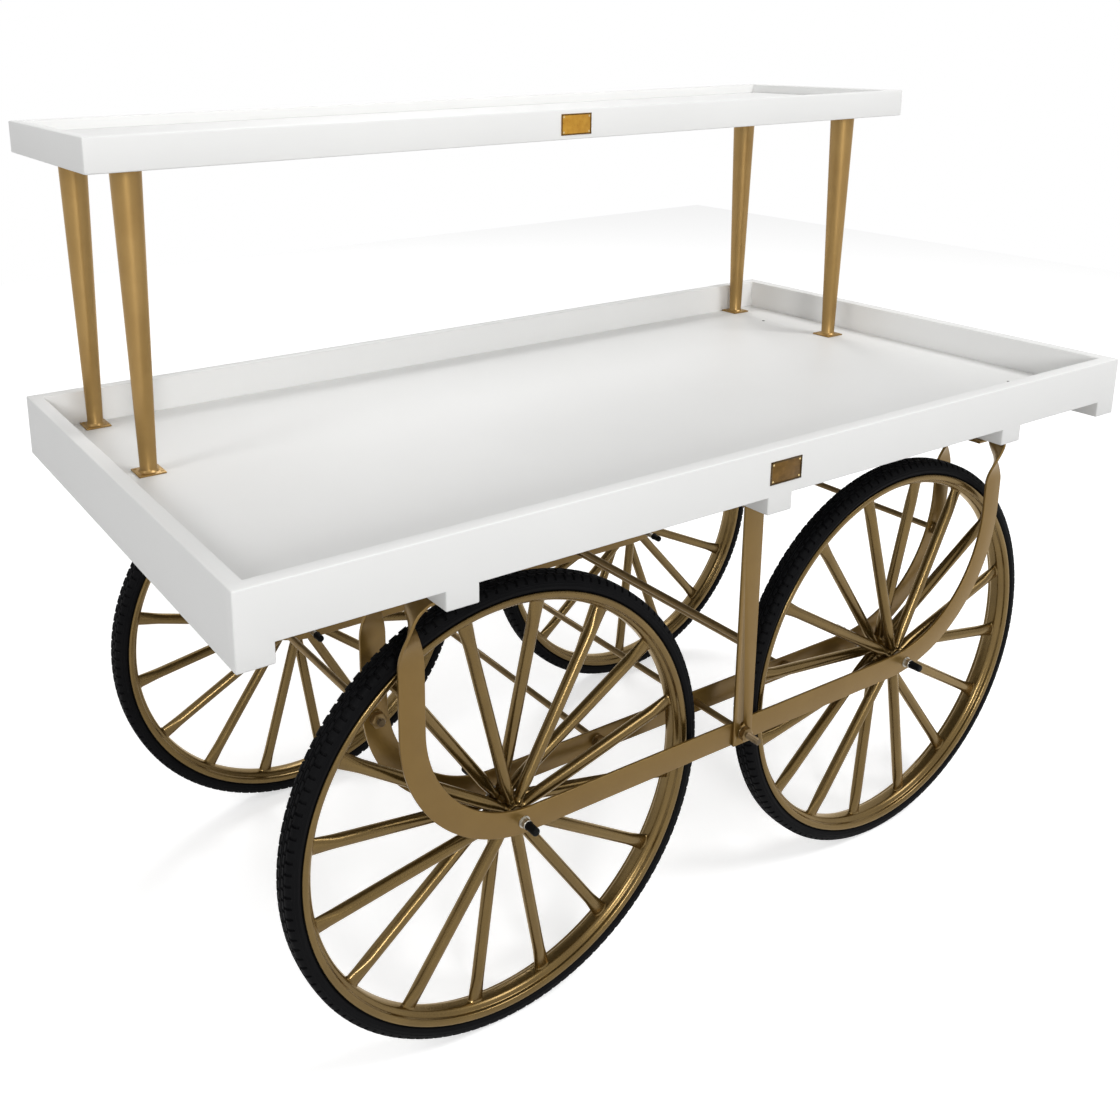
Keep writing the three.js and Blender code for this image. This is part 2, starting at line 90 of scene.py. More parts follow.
# Hub and spokes: the halves are half the width and half the thickness of a spoke's pressed ends
HUB_RADIUS = 0.015
HUB_HALF = 0.028
HUB_SIDES = 36
SPOKES = 16
SPOKE_RADIUS = 0.010
SPOKE_HUB_INSET = 0.011
SPOKE_RIM_SINK = 0.003
SPOKE_END = RIM_INNER + SPOKE_RIM_SINK
SPOKE_HUB_LEAN = 0.01734
SPOKE_HUB_HALVES = (0.0055, 0.009)
SPOKE_RIM_HALVES = (0.0132, 0.0062)
SPOKE_PRESSED = 0.048
SPOKE_PRESSED_STEPS = 8
SPOKE_SIDES = 16
SPOKE_PHASES = {"front_left": 12.5, "front_right": 14, "back_left": 7.5, "back_right": 20}

# Weld beads of the wheels: a ring at the rim is (how far it is sunk, share of rise, share of spread)
WELD_RISE = 0.0040
WELD_SPREAD = 0.0022
WELD_JITTER = 0.0004
RIM_WELD_SINK = 0.0018
RIM_WELD_RINGS = ((0.002, 0.0, 1.25), (0.0, 0.0, 1.0), (0.0, 0.4, 0.62), (0.0, 1.0, 0.12))
HUB_WELD_SINK = 0.002
HUB_WELD_STEP = 0.0026
HUB_WELD_SHARE = 0.7
HUB_WELD_SPREADS = (0.0, 0.8, 1.0, 0.7, 0.1)

# Tyres: half of the section as (radius, place across, kind), where the shoulder's lugs are kind 1, the
# ribs beside the middle one kind 2 and all else kind 0. The lug shares are stations along a pitch, and
# the notches say which of them are cut, by kind and side.
TYRE_LUGS = 132
TYRE_LUG_DEPTH = 0.0029
TYRE_SIPE_DEPTH = 0.0022
TYRE_SECTION = (
    (0.3453, 0.0158, 0), (0.3553, 0.0163, 0), (0.3562, 0.0180, 0), (0.3580, 0.0204, 0),
    (0.3606, 0.0215, 0), (0.3622, 0.0218, 0), (0.3628, 0.0220, 0), (0.3636, 0.0220, 0),
    (0.3642, 0.0217, 0), (0.3672, 0.0213, 0), (0.3677, 0.0215, 0), (0.3684, 0.0214, 0),
    (0.3689, 0.0209, 0), (0.3712, 0.0202, 0), (0.3740, 0.0190, 1), (0.3764, 0.0172, 1),
    (0.3779, 0.0150, 1), (0.3785, 0.0128, 1), (0.3786, 0.0112, 1), (0.3768, 0.0102, 0),
    (0.3768, 0.0088, 0), (0.3789, 0.0080, 2), (0.3791, 0.0036, 2), (0.3774, 0.0030, 0),
    (0.3774, 0.0012, 0), (0.3791, 0.0006, 0),
)
TYRE_LUG_SHARES = (0.0, 0.05, 0.23, 0.28, 0.5, 0.55, 0.73, 0.78)
TYRE_NOTCH_SLOPE = 0.5
TYRE_NOTCHES = {(1, 1): (1, 2), (1, -1): (5, 6), (2, 1): (5, 6), (2, -1): (1, 2)}

# Axles and their caps
AXLE_RADIUS = 0.006
AXLE_SIDES = 32
AXLE_COLLAR_RADIUS = 0.012
AXLE_COLLAR_LENGTH = 0.009
AXLE_COLLAR_SIDES = 40
SPACER_RADIUS = 0.0077
SPACER_FLANGE_RADIUS = 0.0100
SPACER_FLANGE = 0.0015
AXLE_GAP = 0.0003
CAP_SIDES = 32
CAP_ROUND = 0.0032
CAP_ROUND_STEPS = 6
CAP_LIP_LENGTH = 0.0022
CAP_LIP_END = 0.0031
CAP_LIP_RISE = 0.0007
CAP_FLAT_SHARE = 0.3

# Flat steel: a strap's straight stretch differs between its left end (-1) and its right end (1)
STRAP_WIDTH = 0.042
STRAP_THICKNESS = 0.005
STRAP_EDGE = 0.0011
STRAP_EDGE_STEPS = 3
STRAP_STRAIGHTS = {-1: 0.1083, 1: 0.0533}
STRAP_TWIST_LENGTH = 0.085
STRAP_TWIST_DROP = 0.012
STRAP_TWIST_RUN = 0.095
STRAP_TWIST_EVEN = 0.35
STRAP_FOOT_BEND = 0.030
STRAP_FOOT_REACH = 0.085
BEND_STEPS = 40
TWIST_STEPS = 30
FOOT_STEPS = 14
POST_BEND_SHARE = 0.62
POST_BEND_STEPS = 8
SPARE_HOLE_RADIUS = 0.0045
SPARE_HOLE_OFFSET = (-0.0025, 0.0165)
SPARE_HOLE_SIDES = 24

# Bolts and the brace rod: a ring of the rod's weld is (rise over the rod, place along it)
LONG_BOLTS = (
    "tie_bolt_high_left", "tie_bolt_high_right", "tie_bolt_low_left", "tie_bolt_low_right",
    "centre_through_bolt",
)
ROD_RADIUS = 0.006
ROD_SIDES = 24
ROD_WELD = ((0.0032, 0.0), (0.0026, 0.0016), (0.0, 0.0042))
BOLT_SHANK_LAP = 0.0005
NUT_ACROSS_FLATS = 0.022
NUT_THICKNESS = 0.012
NUT_CHAMFER = 0.0012
NUT_CHAMFER_SPREAD = 2
WASHER_RADIUS = 0.0118
WASHER_THICKNESS = 0.0016
WASHER_SIDES = 32
THREAD_PITCH = 0.00175
THREAD_DEPTH = 0.0007

# Shelf legs: a ring of the weld is (rise over the leg's foot, height over the plate)
LEG_TOP_RADIUS = 0.0255
LEG_BOTTOM_RADIUS = 0.014
LEG_WELD = ((0.003, 0.0), (0.0022, 0.0012), (0.0006, 0.003))
LEG_WELD_TOP = 0.0045
LEG_STEPS = 12
LEG_SIDES = 48
LEG_PLATE_HALF = 0.023
LEG_PLATE_THICKNESS = 0.003
PLATE_ROUND_STEPS = 2
PLATE_SCREW_INSET = 0.0055
PLATE_SCREW_RADIUS = 0.0026
PLATE_SCREW_SINK = EDGE / 4
PLATE_SCREW_RISE = PLATE_SCREW_RADIUS / 2

# A screw's head as (share of its radius, share of its rise)
SCREW_PROFILE = ((0.15, 0.0), (1.0, 0.0), (0.94, 0.55), (0.6, 1.0), (0.12, 1.0))
SCREW_SIDES = 18

# Plaques
PLAQUE_BORDER = 0.0026
PLAQUE_RECESS = 0.0006
PLAQUE_FIELD_EDGE = EDGE / 4
PLAQUE_BORDER_EDGE = EDGE / 2
PLAQUE_SCREW_RADIUS = PLATE_SCREW_RADIUS * 0.8
PLAQUE_SCREW_RISE = PLAQUE_RECESS * 0.95

# Textures as (scale, detail, stretch), and the middle span of a noise that they use
NOISE_LOW = 0.3
NOISE_HIGH = 0.7
WOOD_GRAIN = (260, 5, (0.04, 1, 1))
WOOD_CLOUD = (3.2, 3)
WOOD_GRIT = (900, 2)
GOLD_CLOUD = (16, 4)
GOLD_FLAKES = (1400, 2)
GOLD_SKIN = (120, 3)
RUBBER_CLOUD = (22, 5)
RUBBER_GRIT = (700, 3)
STEEL_RINGS = (800, 2, (0.02, 1, 0.02))
STEEL_CLOUD = (60, 4)
BRASS_CLOUD = (90, 5)
BRASS_SCUFFS = (600, 3, (0.15, 1, 1))

# Bumps as (strength, height)
WOOD_GRAIN_BUMP = (0.10, 0.0006)
WOOD_GRIT_BUMP = (0.05, 0.0004)
GOLD_FLAKE_BUMP = (0.06, 0.0003)
GOLD_SKIN_BUMP = (0.12, 0.0008)
RUBBER_GRIT_BUMP = (0.22, 0.0004)
STEEL_RING_BUMP = (0.2, 0.0002)
BRASS_SCUFF_BUMP = (0.15, 0.0003)

# How rough the finishes are: a range, or how far it strays below and above the finish's own value
WHITE_ROUGH = (0.44, 0.56)
STEEL_ROUGH = (0.28, 0.5)
GOLD_STRAY = (0.06, 0.08)
RUBBER_STRAY = (0.06, 0.08)
BRASS_STRAY = (0.07, 0.1)
LACQUER_ROUGH = 0.22

# White paint and its darker clouds, the tint of gold's glancing light, and the metal in brass
WHITE = (0.80, 0.80, 0.79)
WHITE_CLOUD_SHARE = 0.975
GOLD_GLANCE = (1.0, 0.80, 0.50, 1)
BRASS_METAL = 0.8
RUBBER_SHINE = 0.04

# Gold paints as (tone, deep tone, share of metal, roughness, lacquer)
STRAP_PAINT = ((0.166, 0.098, 0.022), (0.148, 0.085, 0.018), 0.6, 0.36, 0.3)
WHEEL_PAINT = ((0.138, 0.086, 0.022), (0.110, 0.067, 0.016), 0.85, 0.25, 0.4)
LEG_PAINT = ((0.325, 0.201, 0.065), (0.283, 0.170, 0.052), 0.7, 0.38, 0.3)
BOLT_PAINT = ((0.18, 0.115, 0.042), (0.13, 0.082, 0.028), 0.7, 0.32, 0.3)

# Rubber and brass as (tone, second tone, roughness), bare steel as (tone, deep tone)
TYRE_RUBBER = ((0.0035, 0.0035, 0.004), (0.0065, 0.0065, 0.007), 0.62)
CAP_RUBBER = ((0.005, 0.005, 0.005), (0.008, 0.008, 0.008), 0.42)
BRIGHT_BRASS_TONES = ((0.52, 0.28, 0.038), (0.42, 0.20, 0.023), 0.34)
DARK_BRASS_TONES = ((0.16, 0.085, 0.018), (0.10, 0.052, 0.010), 0.42)
EDGE_BRASS_TONES = ((0.075, 0.045, 0.014), (0.04, 0.025, 0.008), 0.4)
SCREW_BRASS_TONES = ((0.66, 0.50, 0.25), (0.52, 0.38, 0.16), 0.22)
AXLE_STEEL_TONES = ((0.46, 0.44, 0.39), (0.30, 0.28, 0.25))
THREAD_STEEL_TONES = ((0.155, 0.112, 0.062), (0.078, 0.056, 0.033))
SCREW_STEEL_TONES = ((0.10, 0.095, 0.09), (0.05, 0.045, 0.04))

# Stage: the floor is pale where it is seen and dim for soft light. A lamp is (name, place, width, watts)
FLOOR_PALE = (0.80, 0.80, 0.80, 1)
FLOOR_DIM = (0.35, 0.35, 0.35, 1)
FLOOR_GLOW = 0.55
FLOOR_ROUGH = 0.95
FLOOR_REACH = 6.2
SKY_LOW = 0.55
SKY_HIGH = 0.30
LAMPS = (
    ("front", (-2.6, -5.6, 2.4), 1.2, 136),
    ("top", (2.3, -2.9, 4.9), 2.2, 124),
    ("side", (-4.2, -0.6, 3.4), 1.4, 33),
    ("back", (1.8, 4.0, 4.8), 2.4, 98),
)
LAMP_TARGET = (0, 0, 0.7)


class Shape:
    """Points and faces gathered from several simple forms before they become one mesh."""

    def __init__(self):
        self.points = []
        self.faces = []

    def add(self, points, faces):
        start = len(self.points)
        self.points.extend(Vector(p) for p in points)
        self.faces.extend(tuple(i + start for i in face) for face in faces)

    def made(self, name, material, sharp=SHARP_ANGLE):
        mesh = bpy.data.meshes.new(name)
        mesh.from_pydata([tuple(p) for p in self.points], [], self.faces)
        tidy = bmesh.new()
        tidy.from_mesh(mesh)
        bmesh.ops.recalc_face_normals(tidy, faces=tidy.faces)
        tidy.to_mesh(mesh)
        tidy.free()
        mesh.polygons.foreach_set("use_smooth", [True] * len(mesh.polygons))
        mesh.set_sharp_from_angle(angle=math.radians(sharp))
        mesh.materials.append(material)
        made = bpy.data.objects.new(name, mesh)
        bpy.context.scene.collection.objects.link(made)
        return made


def settle(piece, body, slot, *replaced):
    """The piece rides on its body and stands for the nodes named, which are hidden. The slot is not used.
    """
    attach(piece, body)
    if replaced:
        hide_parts(*replaced)
    return piece


def centre_of(node):
    low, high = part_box(node)
    return (low + high) / 2


def outward_of(corner):
    """The way along Y that a corner's outer side faces."""
    return -1 if corner.startswith("front") else 1


def smooth_step(share):
    share = min(1.0, max(0.0, share))
    return share * share * (3 - 2 * share)


# Forms

def loft(rings):
    """Rings of equally many points, joined in order, with flat ends."""
    count = len(rings[0])
    points = [p for ring in rings for p in ring]
    faces = []
    for i in range(len(rings) - 1):
        for j in range(count):
            k = (j + 1) % count
            faces.append((i * count + j, i * count + k, (i + 1) * count + k, (i + 1) * count + j))
    faces.append(tuple(reversed(range(count))))
    faces.append(tuple(range((len(rings) - 1) * count, len(rings) * count)))
    return points, faces


def turned_ring(profile, centre, steps):
    """A closed profile of (radius, place) pairs turned round an axis along Y through the centre."""
    points, faces = [], []
    count = len(profile)
    for i in range(steps):
        angle = 2 * math.pi * i / steps
        for radius, place in profile:
            points.append(centre + Vector((radius * math.cos(angle), place, radius * math.sin(angle))))
    for i in range(steps):
        k = (i + 1) % steps
        for j in range(count):
            n = (j + 1) % count
            faces.append((i * count + j, i * count + n, k * count + n, k * count + j))
    return points, faces


def turned_solid(profile, centre, steps, axis="Y"):
    """An open profile of (radius, place) pairs, with flat ends, turned round an axis."""
    rings = []
    for radius, place in profile:
        ring = []
        for i in range(steps):
            angle = 2 * math.pi * i / steps
            across, up = radius * math.cos(angle), radius * math.sin(angle)
            offset = (across, place, up) if axis == "Y" else (across, up, place)
            ring.append(centre + Vector(offset))
        rings.append(ring)
    return loft(rings)


def rod_profile(radius, low, high, edge=EDGE):
    return [(radius - edge, low), (radius, low + edge), (radius, high - edge), (radius - edge, high)]


def rounded_box(low, high, radius, steps):
    """The points and faces of a box with rounded edges between two corners."""
    box = bmesh.new()
    bmesh.ops.create_cube(box, size=1.0)
    middle, size = (low + high) / 2, high - low
    for vertex in box.verts:
        vertex.co = Vector(c * s for c, s in zip(vertex.co, size)) + middle
    bmesh.ops.bevel(
        box, geom=box.edges[:], offset=radius, segments=steps, profile=BEVEL_PROFILE, affect="EDGES",
        clamp_overlap=True,
    )
    box.verts.index_update()
    points = [v.co.copy() for v in box.verts]
    faces = [tuple(v.index for v in f.verts) for f in box.faces]
    box.free()
    return points, faces


def strap_section():
    """A flat bar's section with rounded corners, as (across, through) pairs."""
    across, through = STRAP_WIDTH / 2 - STRAP_EDGE, STRAP_THICKNESS / 2 - STRAP_EDGE
    section = []
    for sign_w, sign_t, start in ((1, 1, 0), (-1, 1, 90), (-1, -1, 180), (1, -1, 270)):
        for i in range(STRAP_EDGE_STEPS + 1):
            angle = math.radians(start + 90 * i / STRAP_EDGE_STEPS)
            wide = sign_w * across + STRAP_EDGE * math.cos(angle)
            thick = sign_t * through + STRAP_EDGE * math.sin(angle)
            section.append((wide, thick))
    return section


def bar_ring(section, place, wide, thick):
    return [place + wide * w + thick * t for w, t in section]


def hexagon(radius):
    angles = [math.pi * i / 3 for i in range(6)]
    return [(radius * math.cos(angle), radius * math.sin(angle)) for angle in angles]


def hex_block(centre, thickness):
    """A nut or head along Y, chamfered at both ends, from the centre's y to y + thickness."""
    radius = NUT_ACROSS_FLATS / math.sqrt(3)
    end = 1 - NUT_CHAMFER / radius * NUT_CHAMFER_SPREAD
    stations = ((end, 0), (1, NUT_CHAMFER), (1, thickness - NUT_CHAMFER), (end, thickness))
    rings = []
    for share, place in stations:
        rings.append([centre + Vector((share * x, place, share * z)) for x, z in hexagon(radius)])
    return loft(rings)


def thread_profile(low, high):
    """A rod's end with the grooves of a thread, as (radius, place) pairs."""
    profile = [(ROD_RADIUS - THREAD_DEPTH, low)]
    place = low + THREAD_PITCH / 2
    while place + THREAD_PITCH / 2 < high:
        profile.append((ROD_RADIUS, place))
        profile.append((ROD_RADIUS - THREAD_DEPTH, place + THREAD_PITCH / 2))
        place += THREAD_PITCH
    profile.append((ROD_RADIUS, high))
    return profile


def filled_cells(boxes, planes):
    """The cells of the grid between the planes that lie inside a box."""
    middles = [[(a + b) / 2 for a, b in zip(row, row[1:])] for row in planes]
    return {
        (i, j, k)
        for i, x in enumerate(middles[0])
        for j, y in enumerate(middles[1])
        for k, z in enumerate(middles[2])
        if any(low.x < x < high.x and low.y < y < high.y and low.z < z < high.z for low, high in boxes)
    }


def joined_boxes(boxes, radius, steps):
    """Boxes that touch, made one solid without seams, with its outward edges rounded."""
    corners = [corner for box in boxes for corner in box]
    planes = [sorted({round(corner[axis], MATCH_DECIMALS) for corner in corners}) for axis in range(3)]
    filled = filled_cells(boxes, planes)
    form = bmesh.new()
    made = {}

    def vertex(i, j, k):
        if (i, j, k) not in made:
            made[i, j, k] = form.verts.new((planes[0][i], planes[1][j], planes[2][k]))
        return made[i, j, k]

    for cell in filled:
        for axis in range(3):
            for side in (0, 1):
                beside = list(cell)
                beside[axis] += 2 * side - 1
                if tuple(beside) in filled:
                    continue
                first, second = (axis + 1) % 3, (axis + 2) % 3
                ring = []
                for a, b in ((0, 0), (1, 0), (1, 1), (0, 1)):
                    place = list(cell)
                    place[axis] += side
                    place[first] += a
                    place[second] += b
                    ring.append(vertex(*place))
                form.faces.new(ring if side else ring[::-1])
    flat, rounded = math.radians(FLAT_ANGLE), math.radians(ROUNDED_ANGLE)
    bmesh.ops.dissolve_limit(form, angle_limit=flat, verts=form.verts[:], edges=form.edges[:])
    edges = [e for e in form.edges if e.is_convex and e.calc_face_angle(0) > rounded]
    bmesh.ops.bevel(
        form, geom=edges, offset=radius, segments=steps, profile=BEVEL_PROFILE, affect="EDGES",
        clamp_overlap=True,
    )
    form.verts.index_update()
    points = [v.co.copy() for v in form.verts]
    faces = [tuple(v.index for v in f.verts) for f in form.faces]
    form.free()
    return points, faces


def cut_round_hole(piece, centre, radius, length):
    """A round hole along Y through a piece."""
    cutter = Shape()
    half = length / 2
    cutter.add(*turned_solid([(radius, -half), (radius, half)], centre, SPARE_HOLE_SIDES))
    tool = cutter.made("drill", piece.data.materials[0])
    hole = piece.modifiers.new("hole", "BOOLEAN")
    hole.operation = "DIFFERENCE"
    hole.solver = "EXACT"
    hole.object = tool
    ready = piece.evaluated_get(bpy.context.evaluated_depsgraph_get())
    cut = bpy.data.meshes.new_from_object(ready)
    piece.modifiers.clear()
    piece.data = cut
    bpy.data.objects.remove(tool)


# Materials

def node(tree, kind, **values):
    made = tree.nodes.new(kind)
    for name, value in values.items():
        if name in made.inputs:
            made.inputs[name].default_value = value
        else:
            setattr(made, name, value)
    return made


def noise(tree, coords, scale, detail, stretch=None):
    """A noise texture in the object's own metres, stretched along an axis when asked."""
    made = node(tree, "ShaderNodeTexNoise", Scale=scale, Detail=detail)
    if stretch:
        mapping = node(tree, "ShaderNodeMapping", Scale=stretch)
        tree.links.new(coords, mapping.inputs["Vector"])
        coords = mapping.outputs["Vector"]
    tree.links.new(coords, made.inputs["Vector"])
    return made.outputs["Fac"]


def ranged(tree, value, low, high):
    made = node(tree, "ShaderNodeMapRange")
    made.inputs["To Min"].default_value = low
    made.inputs["To Max"].default_value = high
    made.inputs["From Min"].default_value = NOISE_LOW
    made.inputs["From Max"].default_value = NOISE_HIGH
    tree.links.new(value, made.inputs["Value"])
    return made.outputs["Result"]


def two_tones(tree, value, first, second):
    ramp = node(tree, "ShaderNodeValToRGB")
    ramp.color_ramp.elements[0].position = NOISE_LOW
    ramp.color_ramp.elements[0].color = (*first, 1)
    ramp.color_ramp.elements[1].position = NOISE_HIGH
    ramp.color_ramp.elements[1].color = (*second, 1)
    tree.links.new(value, ramp.inputs["Fac"])
    return ramp.outputs["Color"]


def bump(tree, value, strength, distance, before=None):
    made = node(tree, "ShaderNodeBump", Strength=strength, Distance=distance)
    tree.links.new(value, made.inputs["Height"])
    if before is not None:
        tree.links.new(before, made.inputs["Normal"])
    return made.outputs["Normal"]


def new_material(name, metallic, **constants):
    material = bpy.data.materials.new(name)
    material.use_nodes = True
    tree = material.node_tree
    shader = tree.nodes["Principled BSDF"]
    shader.inputs["Metallic"].default_value = metallic
    for socket, value in constants.items():
        shader.inputs[socket].default_value = value
    coords = node(tree, "ShaderNodeTexCoord").outputs["Object"]
    return material, tree, shader, coords


def roughened(tree, shader, value, low, high):
    tree.links.new(ranged(tree, value, low, high), shader.inputs["Roughness"])


def white_paint(name, tone):
    """Satin white paint over sanded boards, with the grain faintly showing along X."""
    material, tree, shader, coords = new_material(name, 0.0)
    grain = noise(tree, coords, *WOOD_GRAIN)
    cloud = noise(tree, coords, *WOOD_CLOUD)
    grit = noise(tree, coords, *WOOD_GRIT)
    darker = tuple(c * WHITE_CLOUD_SHARE for c in tone)
    tree.links.new(two_tones(tree, cloud, darker, tone), shader.inputs["Base Color"])
    roughened(tree, shader, grit, *WHITE_ROUGH)
    grained = bump(tree, grain, *WOOD_GRAIN_BUMP)
    tree.links.new(bump(tree, grit, *WOOD_GRIT_BUMP, grained), shader.inputs["Normal"])
    return material


def metal_paint(name, tone, deep, metallic, rough, lacquer):
    """Gold paint: a tone that drifts a little, fine flakes, a slight unevenness and a thin lacquer."""
    coat = {"Coat Weight": lacquer, "Coat Roughness": LACQUER_ROUGH, "Specular Tint": GOLD_GLANCE}
    material, tree, shader, coords = new_material(name, metallic, **coat)
    cloud = noise(tree, coords, *GOLD_CLOUD)
    flakes = noise(tree, coords, *GOLD_FLAKES)
    skin = noise(tree, coords, *GOLD_SKIN)
    tree.links.new(two_tones(tree, cloud, deep, tone), shader.inputs["Base Color"])
    roughened(tree, shader, flakes, rough - GOLD_STRAY[0], rough + GOLD_STRAY[1])
    rolled = bump(tree, skin, *GOLD_SKIN_BUMP)
    tree.links.new(bump(tree, flakes, *GOLD_FLAKE_BUMP, rolled), shader.inputs["Normal"])
    return material


def rubber(name, tone, dusty, rough):
    """Dull black rubber with a little dust and a fine grit."""
    material, tree, shader, coords = new_material(name, 0.0, **{"Specular IOR Level": RUBBER_SHINE})
    cloud = noise(tree, coords, *RUBBER_CLOUD)
    grit = noise(tree, coords, *RUBBER_GRIT)
    tree.links.new(two_tones(tree, cloud, tone, dusty), shader.inputs["Base Color"])
    roughened(tree, shader, cloud, rough - RUBBER_STRAY[0], rough + RUBBER_STRAY[1])
    tree.links.new(bump(tree, grit, *RUBBER_GRIT_BUMP), shader.inputs["Normal"])
    return material


def turned_steel(name, tone, deep):
    """Bare steel with fine rings round Y from the lathe and a few dull patches."""
    material, tree, shader, coords = new_material(name, 1.0)
    rings = noise(tree, coords, *STEEL_RINGS)
    cloud = noise(tree, coords, *STEEL_CLOUD)
    tree.links.new(two_tones(tree, cloud, deep, tone), shader.inputs["Base Color"])
    roughened(tree, shader, cloud, *STEEL_ROUGH)
    tree.links.new(bump(tree, rings, *STEEL_RING_BUMP), shader.inputs["Normal"])
    return material


def brass(name, tone, deep, rough):
    """Stamped brass with darker patches and scuffs along X."""
    material, tree, shader, coords = new_material(name, BRASS_METAL)
    cloud = noise(tree, coords, *BRASS_CLOUD)
    scuffs = noise(tree, coords, *BRASS_SCUFFS)
    tree.links.new(two_tones(tree, cloud, deep, tone), shader.inputs["Base Color"])
    roughened(tree, shader, scuffs, rough - BRASS_STRAY[0], rough + BRASS_STRAY[1])
    tree.links.new(bump(tree, scuffs, *BRASS_SCUFF_BUMP), shader.inputs["Normal"])
    return material


WHITE_PAINT = white_paint("white_paint_long", WHITE)
STRAP_GOLD = metal_paint("strap_gold", *STRAP_PAINT)
WHEEL_GOLD = metal_paint("wheel_gold", *WHEEL_PAINT)
LEG_GOLD = metal_paint("leg_gold", *LEG_PAINT)
BOLT_GOLD = metal_paint("bolt_gold", *BOLT_PAINT)
TYRE_BLACK = rubber("tyre_black", *TYRE_RUBBER)
CAP_BLACK = rubber("cap_black", *CAP_RUBBER)
AXLE_STEEL = turned_steel("axle_steel_finish", *AXLE_STEEL_TONES)
THREAD_STEEL = turned_steel("thread_steel", *THREAD_STEEL_TONES)
BRIGHT_BRASS = brass("bright_brass", *BRIGHT_BRASS_TONES)
DARK_BRASS = brass("dark_brass", *DARK_BRASS_TONES)
EDGE_BRASS = brass("edge_brass", *EDGE_BRASS_TONES)
SCREW_BRASS = brass("screw_brass", *SCREW_BRASS_TONES)
SCREW_STEEL = turned_steel("screw_steel", *SCREW_STEEL_TONES)


# Woodwork

def add_board(node_name):
    low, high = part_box(node_name)
    shape = Shape()
    shape.add(*rounded_box(low, high, BOARD_ROUND, BOARD_ROUND_STEPS))
    settle(shape.made(f"painted_{node_name}", WHITE_PAINT), CHASSIS, "white_wood", node_name)


def add_joined_boards(name, node_names):
    """Boards whose joints are filled and painted over."""
    shape = Shape()
    shape.add(*joined_boxes([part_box(n) for n in node_names], BOARD_ROUND, BOARD_ROUND_STEPS))
    settle(shape.made(name, WHITE_PAINT), CHASSIS, "white_wood", *node_names)


def add_woodwork():
    sides = ("front", "back", "left", "right")
    beams = ("left_end", "left", "centre", "right", "right_end")
    tray = [f"tray_board_{side}" for side in sides] + [f"crossbeam_{beam}" for beam in beams]
    add_joined_boards("painted_tray_frame", tray)
    add_joined_boards("painted_shelf_frame", [f"shelf_board_{side}" for side in sides])
    add_board("tray_deck")
    add_board("shelf_panel")


def screw_head(place, axis, radius, rise):
    """A plain domed screw head on a face that looks up (axis Z) or to the front (axis Y)."""
    out = 1 if axis == "Z" else -1
    profile = [(across * radius, out * up * rise) for across, up in SCREW_PROFILE]
    return turned_solid(profile, place, SCREW_SIDES, axis)


def add_deck_screws():
    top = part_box("tray_deck")[1].z
    shape = Shape()
    for x, y in DECK_SCREW_PLACES:
        shape.add(*screw_head(Vector((x, y, top)), "Z", DECK_SCREW_RADIUS, DECK_SCREW_RISE))
    settle(shape.made("deck_screws", SCREW_STEEL), CHASSIS, "axle_steel")


# Shelf legs

def leg_plate(shape, centre, base):
    low = Vector((centre.x - LEG_PLATE_HALF, centre.y - LEG_PLATE_HALF, base))
    high = Vector((centre.x + LEG_PLATE_HALF, centre.y + LEG_PLATE_HALF, base + LEG_PLATE_THICKNESS))
    shape.add(*rounded_box(low, high, EDGE, PLATE_ROUND_STEPS))
    reach = LEG_PLATE_HALF - PLATE_SCREW_INSET
    foot = high.z - PLATE_SCREW_SINK
    for sign_x in (-1, 1):
        for sign_y in (-1, 1):
            place = Vector((centre.x + sign_x * reach, centre.y + sign_y * reach, foot))
            shape.add(*screw_head(place, "Z", PLATE_SCREW_RADIUS, PLATE_SCREW_RISE))


def leg_profile(low, high):
    """The weld on the base plate and the tapered tube above it, between two heights."""
    plate_top = low + LEG_PLATE_THICKNESS
    tube_foot = plate_top + LEG_WELD_TOP
    tube = high - low - LEG_PLATE_THICKNESS - LEG_WELD_TOP
    profile = [(LEG_BOTTOM_RADIUS + rise, plate_top + place) for rise, place in LEG_WELD]
    for i in range(LEG_STEPS + 1):
        share = i / LEG_STEPS
        radius = LEG_BOTTOM_RADIUS + (LEG_TOP_RADIUS - LEG_BOTTOM_RADIUS) * share
        profile.append((radius, tube_foot + tube * share))
    return profile


def add_leg(node_name):
    low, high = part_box(node_name)
    centre = (low + high) / 2
    base = Vector((centre.x, centre.y, 0))
    shape = Shape()
    leg_plate(shape, centre, low.z)
    shape.add(*turned_solid(leg_profile(low.z, high.z), base, LEG_SIDES, axis="Z"))
    settle(shape.made(f"tapered_{node_name}", LEG_GOLD), CHASSIS, "gold_leg", node_name)


def add_legs():
    for corner in CORNERS:
        add_leg(f"shelf_leg_{corner}")


# Straps and posts

def strap_frame(side, slope, twist):
    """The directions of a strap's width and thickness where it climbs at a slope and has twisted."""
    along = Vector((math.cos(slope), 0, side * math.sin(slope)))
    outer = Vector((along.z, 0, -along.x))
    wide = outer * math.cos(twist) + Vector((0, side * math.sin(twist), 0))
    return wide, along.cross(wide)


def twist_share(run):
    """How much of its quarter turn a strap has made, a run above the twist's lower end."""
    share = min(1.0, run / STRAP_TWIST_RUN)
    return STRAP_TWIST_EVEN * share + (1 - STRAP_TWIST_EVEN) * smooth_step(share)


